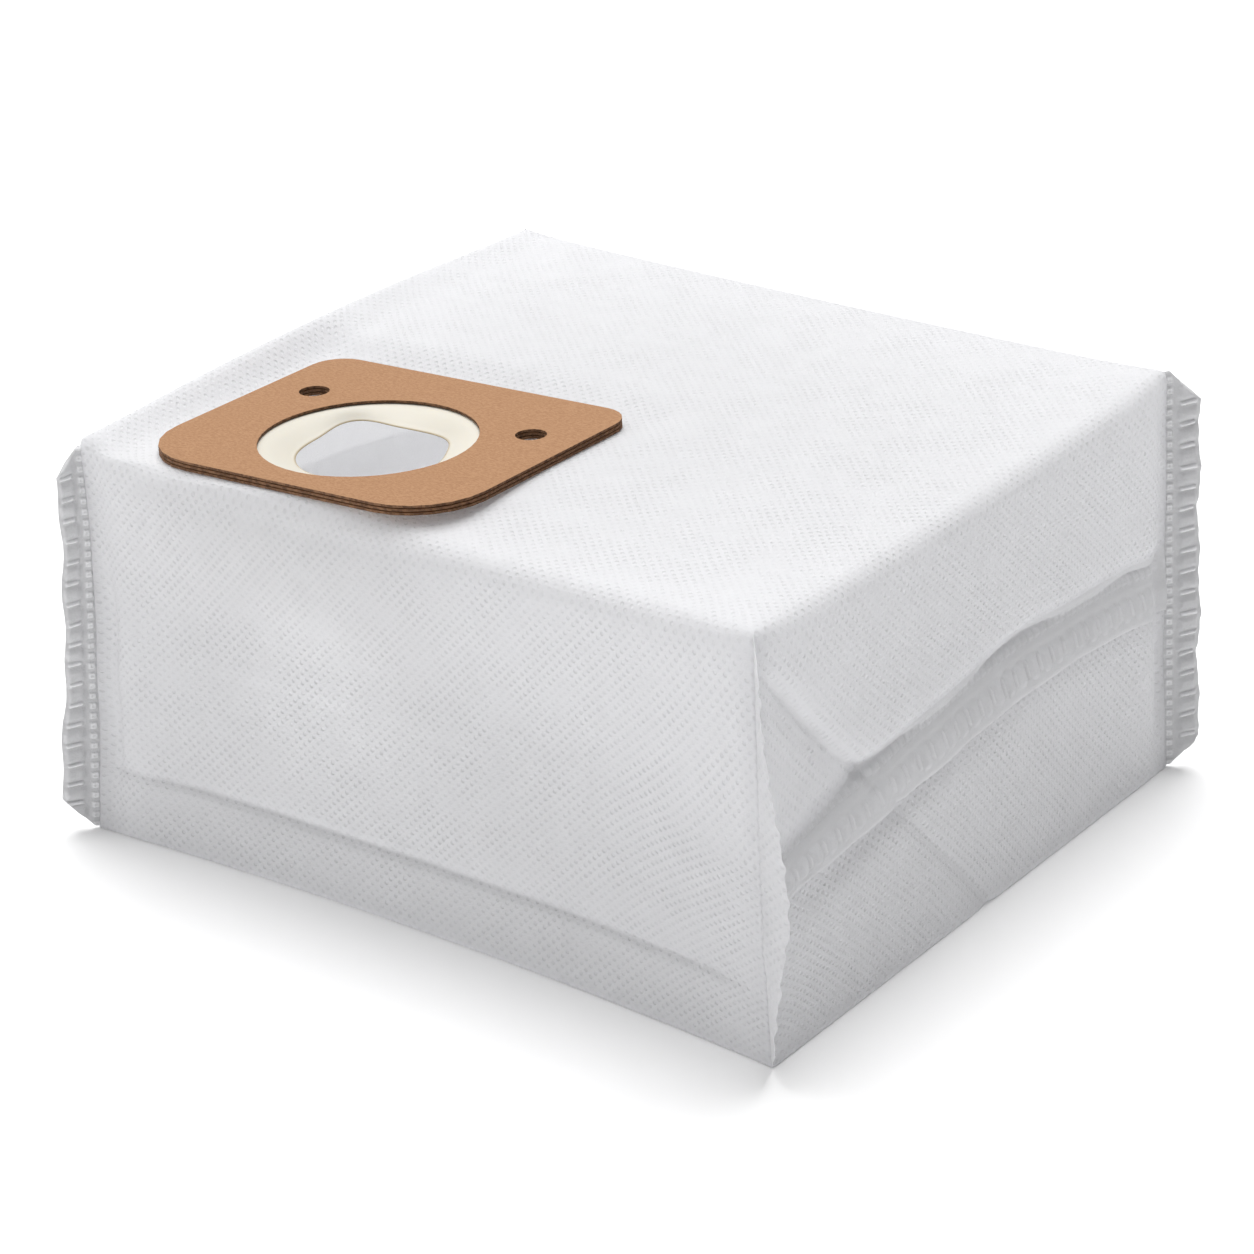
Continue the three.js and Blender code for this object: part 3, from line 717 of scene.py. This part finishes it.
def bond_dots(g, uv):
    """Rows of round dots over the outer face of the cloth, worn faint in places."""
    turned = g.nodes.new("ShaderNodeVectorRotate")
    turned.rotation_type = "Z_AXIS"
    turned.inputs["Angle"].default_value = math.pi / 4
    g.links.new(uv, turned.inputs["Vector"])
    split = g.nodes.new("ShaderNodeSeparateXYZ")
    g.links.new(turned.outputs["Vector"], split.inputs["Vector"])
    squares = []
    for axis in ("X", "Y"):
        place = g.math("FRACT", g.math("MULTIPLY", split.outputs[axis], 1 / BOND_PITCH))
        squares.append(g.math("POWER", g.math("SUBTRACT", place, 0.5), 2.0))
    radius = g.math("SQRT", g.math("ADD", *squares))
    worn = g.ramp(g.noise(uv, 0.09, 3.0, 0.7), 0.35, 0.62, *BOND_WEAR)
    front = g.math("SUBTRACT", 1.0, g.nodes.new("ShaderNodeNewGeometry").outputs["Backfacing"])
    dot = g.math("MULTIPLY", g.ramp(radius, *BOND_RADII, 1.0, 0.0), worn)
    return g.math("MULTIPLY", dot, front)


def fabric_material(name, white, through_share, through_white=CLOTH_WHITE, dots=1.0, with_welds_and_highlights=False):
    """Nonwoven cloth. It lets a share of the light through and sends the rest back."""
    material, nodes, links, shader = new_material(name)
    g = Graph(nodes, links)
    uv_map = nodes.new("ShaderNodeUVMap")
    uv_map.uv_map = "cloth"
    uv = uv_map.outputs["UV"]
    dot = bond_dots(g, uv)
    fibres = g.noise(uv, 2.2, 4.0, 0.7)
    cloud = g.noise(uv, 0.16, 3.0, 0.6)
    tone = g.math("ADD", g.ramp(cloud, 0.3, 0.7, -0.015, 0.015), g.ramp(fibres, 0.3, 0.7, -0.03, 0.03))
    # Welds are whiter, partly a painted highlight of their gloss; the free edge of a seam flange gets a
    # painted highlight too.
    if with_welds_and_highlights:
        tone = g.math("ADD", tone, g.math("MULTIPLY", g.attribute("weld_and_highlight"), WELD_HIGHLIGHT_GAIN))
    shade = g.math("MULTIPLY", dot, BOND_SHADE * dots)
    base = nodes.new("ShaderNodeVectorMath")
    base.operation = "SCALE"
    base.inputs[0].default_value = white
    g.put(base.inputs["Scale"], g.math("SUBTRACT", g.math("ADD", tone, 1.0), shade))
    g.put(shader.inputs["Base Color"], base.outputs["Vector"])
    g.put(shader.inputs["Roughness"], g.ramp(dot, 0.0, 1.0, 0.85, 0.55))
    shader.inputs["Specular IOR Level"].default_value = 0.3
    shader.inputs["Sheen Weight"].default_value = 0.05

    dip = g.math("MULTIPLY", dot, -BOND_DEPTH * dots)
    height = g.math("ADD", dip, g.math("MULTIPLY", fibres, FIBRE_DEPTH))
    normal = g.bump(height, FABRIC_RELIEF)
    links.new(normal, shader.inputs["Normal"])

    through = nodes.new("ShaderNodeBsdfTranslucent")
    through.inputs["Color"].default_value = (*through_white, 1)
    links.new(normal, through.inputs["Normal"])
    blend = nodes.new("ShaderNodeMixShader")
    blend.inputs["Fac"].default_value = through_share
    links.new(shader.outputs["BSDF"], blend.inputs[1])
    links.new(through.outputs["BSDF"], blend.inputs[2])
    links.new(blend.outputs["Shader"], nodes["Material Output"].inputs["Surface"])
    return material


KRAFT_DARK = (0.305, 0.155, 0.074, 1)
KRAFT_LIGHT = (0.40, 0.222, 0.115, 1)
KRAFT_CLOUD = (0.345, 0.182, 0.088, 1)
KRAFT_FLECK = (0.27, 0.135, 0.062, 1)
# Painted shade on the card's cut edges and in the gaps between its layers.
EDGE_SHADE_DARK = (0.09, 0.042, 0.02, 1)
EDGE_SHADE_LIGHT = (0.24, 0.125, 0.065, 1)


def card_material():
    """Kraft card with fibres and dark flecks on its faces, and painted shade on its cut edges."""
    material, nodes, links, shader = new_material("kraft_card")
    g = Graph(nodes, links)
    place = nodes.new("ShaderNodeTexCoord").outputs["Object"]
    stretch = nodes.new("ShaderNodeMapping")
    stretch.inputs["Scale"].default_value = (1, 2.2, 1)
    links.new(place, stretch.inputs["Vector"])
    fibres = g.noise(stretch.outputs["Vector"], 1100, 4.0, 0.75)
    cloud = g.noise(place, 60, 3.0, 0.6)
    flecks = g.ramp(g.noise(place, 700, 2.0, 0.6), 0.66, 0.74)
    colour = g.mix(g.ramp(fibres, 0.37, 0.63), KRAFT_DARK, KRAFT_LIGHT)
    colour = g.mix(g.ramp(cloud, 0.3, 0.7, 0.0, 0.22), colour, KRAFT_CLOUD)
    colour = g.mix(g.math("MULTIPLY", flecks, 0.45), colour, KRAFT_FLECK)
    split = nodes.new("ShaderNodeSeparateXYZ")
    links.new(nodes.new("ShaderNodeNewGeometry").outputs["True Normal"], split.inputs["Vector"])
    # The cut edges, which face sideways, are painted dark: painted shade.
    cut = g.ramp(g.math("ABSOLUTE", split.outputs["Z"]), 0.35, 0.6, 1.0, 0.0)
    edge = g.mix(g.ramp(g.noise(place, 900, 3.0, 0.7), 0.35, 0.65), EDGE_SHADE_DARK, EDGE_SHADE_LIGHT)
    links.new(g.mix(cut, colour, edge), shader.inputs["Base Color"])
    shader.inputs["Roughness"].default_value = 0.78
    shader.inputs["Specular IOR Level"].default_value = 0.3
    links.new(g.bump(fibres, 0.00012, 0.6), shader.inputs["Normal"])
    return material


RUBBER_CREAM = (0.62, 0.588, 0.512, 1)
RUBBER_EDGE = (0.47, 0.37, 0.22, 1)


def membrane_material():
    """Cream rubber, darker along the edge of its opening."""
    material, nodes, links, shader = new_material("membrane_rubber")
    g = Graph(nodes, links)
    links.new(g.mix(g.attribute("edge"), RUBBER_CREAM, RUBBER_EDGE), shader.inputs["Base Color"])
    shader.inputs["Roughness"].default_value = 0.5
    shader.inputs["Specular IOR Level"].default_value = 0.4
    shader.inputs["Subsurface Weight"].default_value = 0.15
    shader.inputs["Subsurface Radius"].default_value = (0.002, 0.0016, 0.001)
    return material


# The bag

def bag_shell(material):
    """The bag's single sheet of cloth, open at the neck."""
    points, quads, cloth = box_surface()
    used, quads, cloth = open_neck(points, quads, cloth)
    return make_object("bag_cloth", points[used], quads, material, cloth)


def weld_relief(reach, along, dots_at, dash_reach, slant=0.0):
    """A row of weld dots and a row of dashes on a flange, with the cloth puffed up between the dashes.

    Gives the height of the relief, and how far each point is welded, which whitens it: partly a painted
    highlight of the welds' gloss.
    """
    to_dot = np.abs((along / DOT_PITCH) % 1 - 0.5) * DOT_PITCH
    square = np.maximum(np.abs(reach - dots_at) / DOT_HALF[0], to_dot / DOT_HALF[1])
    dot = 1 - smoothstep(square, *DOT_EDGE)
    dimple = 1 - smoothstep(square, *DIMPLE_EDGE)
    to_dash = np.abs(((along + slant * reach) / DASH_PITCH) % 1 - 0.5) * DASH_PITCH
    past_end = np.abs(reach - sum(dash_reach) / 2) - (dash_reach[1] - dash_reach[0]) / 2
    bar = (1 - smoothstep(to_dash, *DASH_EDGE)) * (1 - smoothstep(past_end, *DASH_END))
    puff = smoothstep(to_dash, *PUFF_RISE) * (1 - smoothstep(past_end, *PUFF_END))
    relief = DOT_HEIGHT * dot - DIMPLE_DEPTH * dimple + DASH_HEIGHT * bar + PUFF_HEIGHT * puff
    return relief, np.clip(dot - DIMPLE_WELD * dimple + bar, 0, 1)


def sweep(rows, across, doubled=True):
    """Places on a strip of cloth. A doubled one goes out on one face and back on the other."""
    section = np.concatenate([across, across[::-1]]) if doubled else across
    face = np.where(np.arange(len(section)) < len(across), 1.0, -1.0)
    along, out = np.meshgrid(rows, section, indexing="ij")
    faces = strip_faces(len(rows), len(section))[:, ::-1]
    return along.ravel(), out.ravel(), np.tile(face, len(rows)), faces


def corner_flange(end, side, material):
    """A welded flange that stands out from a corner, with its relief on both faces.

    The near one, seen on edge, shows no welds. It is thin and bent over to the right.
    """
    near = end > 0 and side < 0
    front_left = end < 0 and side < 0
    reach = np.concatenate([[-FLANGE_HOLD], np.arange(-2.2, 6.8, FLANGE_STEP), [6.95, FLANGE_REACH]])
    along, out, facing, faces = sweep(np.linspace(0, 1, FLANGE_ROWS), reach)
    cut = FLANGE_FOOT + np.maximum(out, 0)
    top = HEIGHT - SHORTER_TOP * front_left
    z = lerp(cut, top - cut, along)
    relief, weld_and_highlight = weld_relief(out, z, DOTS_AT, DASH_REACH, -DASH_SLANT * end)
    wave = FLANGE_WAVE * np.sin(2 * np.pi * z / FLANGE_WAVE_LENGTH + end + 2 * side)
    phases = (1.7 * end, side)
    ruffle = sum(h * np.sin(2 * np.pi * z / run + at) for (h, run), at in zip(FLANGE_RUFFLES, phases))
    if near:
        relief, weld_and_highlight = 0 * relief, 0 * weld_and_highlight
        spread = np.where(z > LIP_BEND_HEIGHT, *LIP_BEND_SPREADS)
        wave = LIP_BEND * bump(z - LIP_BEND_HEIGHT, spread) - LIP_SET_BACK
        ruffle = LIP_RUFFLE_SHARE * ruffle
    rim = smoothstep(out, FLANGE_REACH - FLANGE_RIM, FLANGE_REACH)
    tip = smoothstep(np.minimum(along, 1 - along), 0, FLANGE_TIP)
    half = ((LIP_HALF if near else FLANGE_HALF) + relief) * (1 - FLANGE_RIM_THINS * rim)
    half = half * lerp(FLANGE_TIP_HALF, 1, tip)
    free = np.clip(out / FLANGE_REACH, 0, 1)
    swing = facing * half + wave * free + ruffle * free ** 2
    ragged = sum(h * np.sin(z / run + at) for (h, run), at in zip(FLANGE_RAGS, (end, side)))
    narrower = NARROWER * smoothstep(z, *NARROWER_FROM) * front_left
    out = out + free * (ragged - narrower)
    diagonal = math.sqrt(0.5)
    points = np.stack([
        end * (HALF_LENGTH + out * diagonal) - side * swing * diagonal,
        side * (HALF_WIDTH + out * diagonal + near * lip_root(z)) + end * swing * diagonal,
        z,
    ], axis=1)
    cloth = np.stack([out, z], axis=1)[faces]
    name = f"corner_flange_{'left' if end < 0 else 'right'}_{'front' if side < 0 else 'back'}"
    return make_object(name, soften(points), faces, material, cloth, {"weld_and_highlight": weld_and_highlight})


def seam_flange(end, material):
    """The flange of an end seam, folded down over the panel.

    The left one is a single layer, so that light comes through it. The far end of each is pressed flat.
    """
    down = np.concatenate([np.arange(-SEAM_HELD, SEAM_FLANGE - 0.1, SEAM_STEP), [SEAM_FLANGE]])
    ys = np.linspace(SEAM_ENDS[0] - HALF_WIDTH, HALF_WIDTH - SEAM_ENDS[1], SEAM_ROWS)
    y, fall, facing, faces = sweep(ys, down, doubled=end > 0)
    relief, weld_and_highlight = weld_relief(fall, y, SEAM_DOTS_AT, SEAM_DASH_REACH)
    # A painted highlight along the free edge, where it catches the light, added to the welds' whitening.
    rim = smoothstep(fall, SEAM_FLANGE - SEAM_HIGHLIGHT_BAND, SEAM_FLANGE)
    weld_and_highlight = SEAM_WELDS_AND_HIGHLIGHT[0] * weld_and_highlight + SEAM_WELDS_AND_HIGHLIGHT[1] * rim
    raised = SEAM_RELIEF * relief + SEAM_RIDGE * bump(fall - SEAM_RIDGE_AT, SEAM_RIDGE_SPREAD)
    share = fall / SEAM_FLANGE
    free = np.clip(share, 0, 1)
    curl = sum(height * np.sin(y / run + at) for height, run, at in SEAM_CURLS)
    facet = 1 - smoothstep(y, *FACET_SIDE)
    root = lerp(*ROOT_RIGHT, facet) if end > 0 else ROOT_LEFT
    buried = root * (1 - smoothstep(fall, -SEAM_HELD, lerp(*ROOT_FADES, facet)))
    edge_stand = SEAM_STAND[1] + SEAM_LIFT * bump(y - SEAM_LIFT_PLACE, SEAM_LIFT_SPREAD)
    stand = lerp(SEAM_STAND[0], edge_stand, free ** 1.5) + curl * free ** 2 - buried
    half = SEAM_HALF + np.where(facing > 0, raised, 0)
    half = half * (1 - SEAM_EDGE_THINS * smoothstep(share, SEAM_EDGE_FROM, 1))
    half = half * smoothstep(HALF_WIDTH - np.abs(y), *SEAM_TIPS)
    pressed = PRESSED_SHARE * smoothstep(y, *PRESSED_FROM)
    out = (stand + SEAM_OUT + facing * half) * (1 - pressed)
    length = 1 + LONGER * smoothstep(y, *LONGER_FROM) - SHORTER * smoothstep(-y, *SHORTER_FROM)
    z = seam_height(1, y) - fall * length
    points = np.stack([end * (HALF_LENGTH + out), end * y, z], axis=1)
    cloth = np.stack([y, fall], axis=1)[faces]
    name = f"seam_flange_{'left' if end < 0 else 'right'}"
    return make_object(name, soften(points, pinched=True), faces, material, cloth, {"weld_and_highlight": weld_and_highlight})


def collar_place(x, y, z):
    """Points given from the inlet's axis and the collar's underside, at their places on the bag."""
    cx, sx = math.cos(-NOD), math.sin(-NOD)
    cy, sy = math.cos(-TILT), math.sin(-TILT)
    x, z = cy * x + sy * z, -sy * x + cy * z
    y, z = cx * y - sx * z, sx * y + cx * z
    return np.stack([x + INLET[0], y + INLET[1], z + UNDERSIDE], axis=1)


def opening_radius(angle):
    """Radius of the membrane's uneven opening."""
    radius = OPENING_RADIUS
    for at, height, power in OPENING_LOBES:
        radius = radius + height * np.maximum(np.cos(angle - math.radians(at)), 0) ** power
    return radius


def membrane(material):
    """The sealing ring: flat between the cards, and sagging inside the inlet round its opening."""
    turns, steps = 192, 26
    angle = np.linspace(0, 2 * np.pi, turns, endpoint=False)[:, None]
    inner = opening_radius(angle)
    share = np.linspace(0, 1, steps)[None]
    radius = lerp(INLET_RADIUS + MEMBRANE_MARGIN, inner, share)
    inwards = (INLET_RADIUS - MEMBRANE_SAG_FROM - radius) / (INLET_RADIUS - inner)
    wave = MEMBRANE_WAVE * np.sin(MEMBRANE_WAVES * angle + 1) * smoothstep(share, MEMBRANE_WAVE_FROM, 1)
    middle = 1.5 * CARD_THICKNESS + GLUE_GAP
    height = middle - MEMBRANE_SAG * smoothstep(inwards, 0, MEMBRANE_SAG_FULL) + wave
    half = lerp(*MEMBRANE_HALF, smoothstep(share, MEMBRANE_THINS_FROM, 1))
    sheet = np.concatenate([height + half, (height - half)[:, ::-1]], axis=1)
    across = np.concatenate([radius, radius[:, ::-1]], axis=1)
    points = collar_place((across * np.cos(angle)).ravel(), (across * np.sin(angle)).ravel(), sheet.ravel())
    edge = smoothstep(np.concatenate([share, share[:, ::-1]], axis=1), *MEMBRANE_EDGE_BAND)
    edge = np.broadcast_to(edge, (turns, 2 * steps)).ravel()
    faces = strip_faces(turns, 2 * steps, closed=True)
    return make_object("sealing_ring", points, faces, material, None, {"edge": edge})


cloth_material = fabric_material("nonwoven", CLOTH_WHITE, 0.42)
shaded_flange_material = fabric_material("shaded_welded_nonwoven", FLANGE_SHADED_WHITE, 0.15, dots=0.15, with_welds_and_highlights=True)
shaded_lip_material = fabric_material("shaded_doubled_nonwoven", LIP_SHADED_WHITE, 0.42)
shaded_seam_material = fabric_material("shaded_folded_nonwoven", SEAM_SHADED_WHITE, 0.45, with_welds_and_highlights=True)
thin_material = fabric_material("thin_nonwoven", THIN_WHITE, 0.7, THIN_WHITE, dots=0.9, with_welds_and_highlights=True)

bag = bag_shell(cloth_material)
flanges = [corner_flange(end, side, shaded_flange_material) for end, side in ((-1, -1), (-1, 1), (1, 1))]
flanges.append(corner_flange(1, -1, shaded_lip_material))
flanges += [seam_flange(-1, thin_material), seam_flange(1, shaded_seam_material)]
for obj in [bag, *flanges]:
    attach(obj, "root")
    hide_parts("bag_body")

ring = membrane(membrane_material())
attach(ring, "root")
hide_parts("inlet_membrane")

kraft = card_material()
for layer in ("card_bottom", "card_middle", "card_top"):
    node = bpy.data.objects[layer]
    node.data.materials.clear()
    node.data.materials.append(kraft)


# Floor, light and camera

FLOOR_HALF = 6.0
FLOOR_WHITE = 0.95
SKY_FROM = (-0.73, -0.29, 0.62)  # the way to the sky's brightest place
SKY_DARK_FROM = -0.77  # the cosine of the angle to it where the sky goes dark
SKY_STRENGTH = 0.83
SUN_FROM = (-0.19, 0.28, 1)
SUN_STRENGTH = 3.05
SUN_ANGLE = math.radians(50)
CAMERA_PLACE = (0.508453, -0.710059, 0.4478)
CAMERA_TURN = (65.24, 0.42, 35.56)  # degrees
CAMERA_LENS = 117.44
CAMERA_SENSOR = 36


def lay_floor():
    """A white, matt floor, which is only there for the picture."""
    mesh = bpy.data.meshes.new("floor")
    corners = [(x * FLOOR_HALF, y * FLOOR_HALF, 0) for x, y in ((-1, -1), (1, -1), (1, 1), (-1, 1))]
    mesh.from_pydata(corners, [], [(0, 1, 2, 3)])
    floor = bpy.data.objects.new("floor", mesh)
    bpy.context.scene.collection.objects.link(floor)
    material, nodes, links, shader = new_material("floor")
    shader.inputs["Base Color"].default_value = (FLOOR_WHITE, FLOOR_WHITE, FLOOR_WHITE, 1)
    shader.inputs["Roughness"].default_value = 1
    shader.inputs["Specular IOR Level"].default_value = 0
    mesh.materials.append(material)


def light_sky():
    """Light that is brightest from the left and above. The camera sees plain white behind the bag."""
    world = bpy.data.worlds.new("studio")
    bpy.context.scene.world = world
    world.use_nodes = True
    nodes, links = world.node_tree.nodes, world.node_tree.links
    background = nodes["Background"]
    background.inputs["Color"].default_value = (1, 1, 1, 1)
    g = Graph(nodes, links)
    towards = nodes.new("ShaderNodeVectorMath")
    towards.operation = "DOT_PRODUCT"
    links.new(nodes.new("ShaderNodeTexCoord").outputs["Generated"], towards.inputs[0])
    towards.inputs[1].default_value = SKY_FROM
    blend = nodes.new("ShaderNodeMix")
    links.new(nodes.new("ShaderNodeLightPath").outputs["Is Camera Ray"], blend.inputs["Factor"])
    sky = g.ramp(towards.outputs["Value"], SKY_DARK_FROM, 1, 0, SKY_STRENGTH, smooth=False)
    links.new(sky, blend.inputs[2])
    blend.inputs[3].default_value = 1.0
    links.new(blend.outputs[0], background.inputs["Strength"])


def light_sun():
    """A wide, soft main light from above, and a little from the left and behind."""
    light = bpy.data.lights.new("key", "SUN")
    light.energy = SUN_STRENGTH
    light.angle = SUN_ANGLE
    sun = bpy.data.objects.new("key", light)
    sun.rotation_euler = Vector(SUN_FROM).to_track_quat("Z", "Y").to_euler()
    bpy.context.scene.collection.objects.link(sun)


def place_camera():
    """The camera of the photo, worked out from the corners of the bag in it."""
    data = bpy.data.cameras.new("camera")
    data.lens = CAMERA_LENS
    data.sensor_width = CAMERA_SENSOR
    camera = bpy.data.objects.new("camera", data)
    camera.location = CAMERA_PLACE
    camera.rotation_euler = [math.radians(angle) for angle in CAMERA_TURN]
    bpy.context.scene.collection.objects.link(camera)
    bpy.context.scene.camera = camera


lay_floor()
light_sky()
light_sun()
place_camera()
bpy.context.scene.view_settings.view_transform = "Standard"
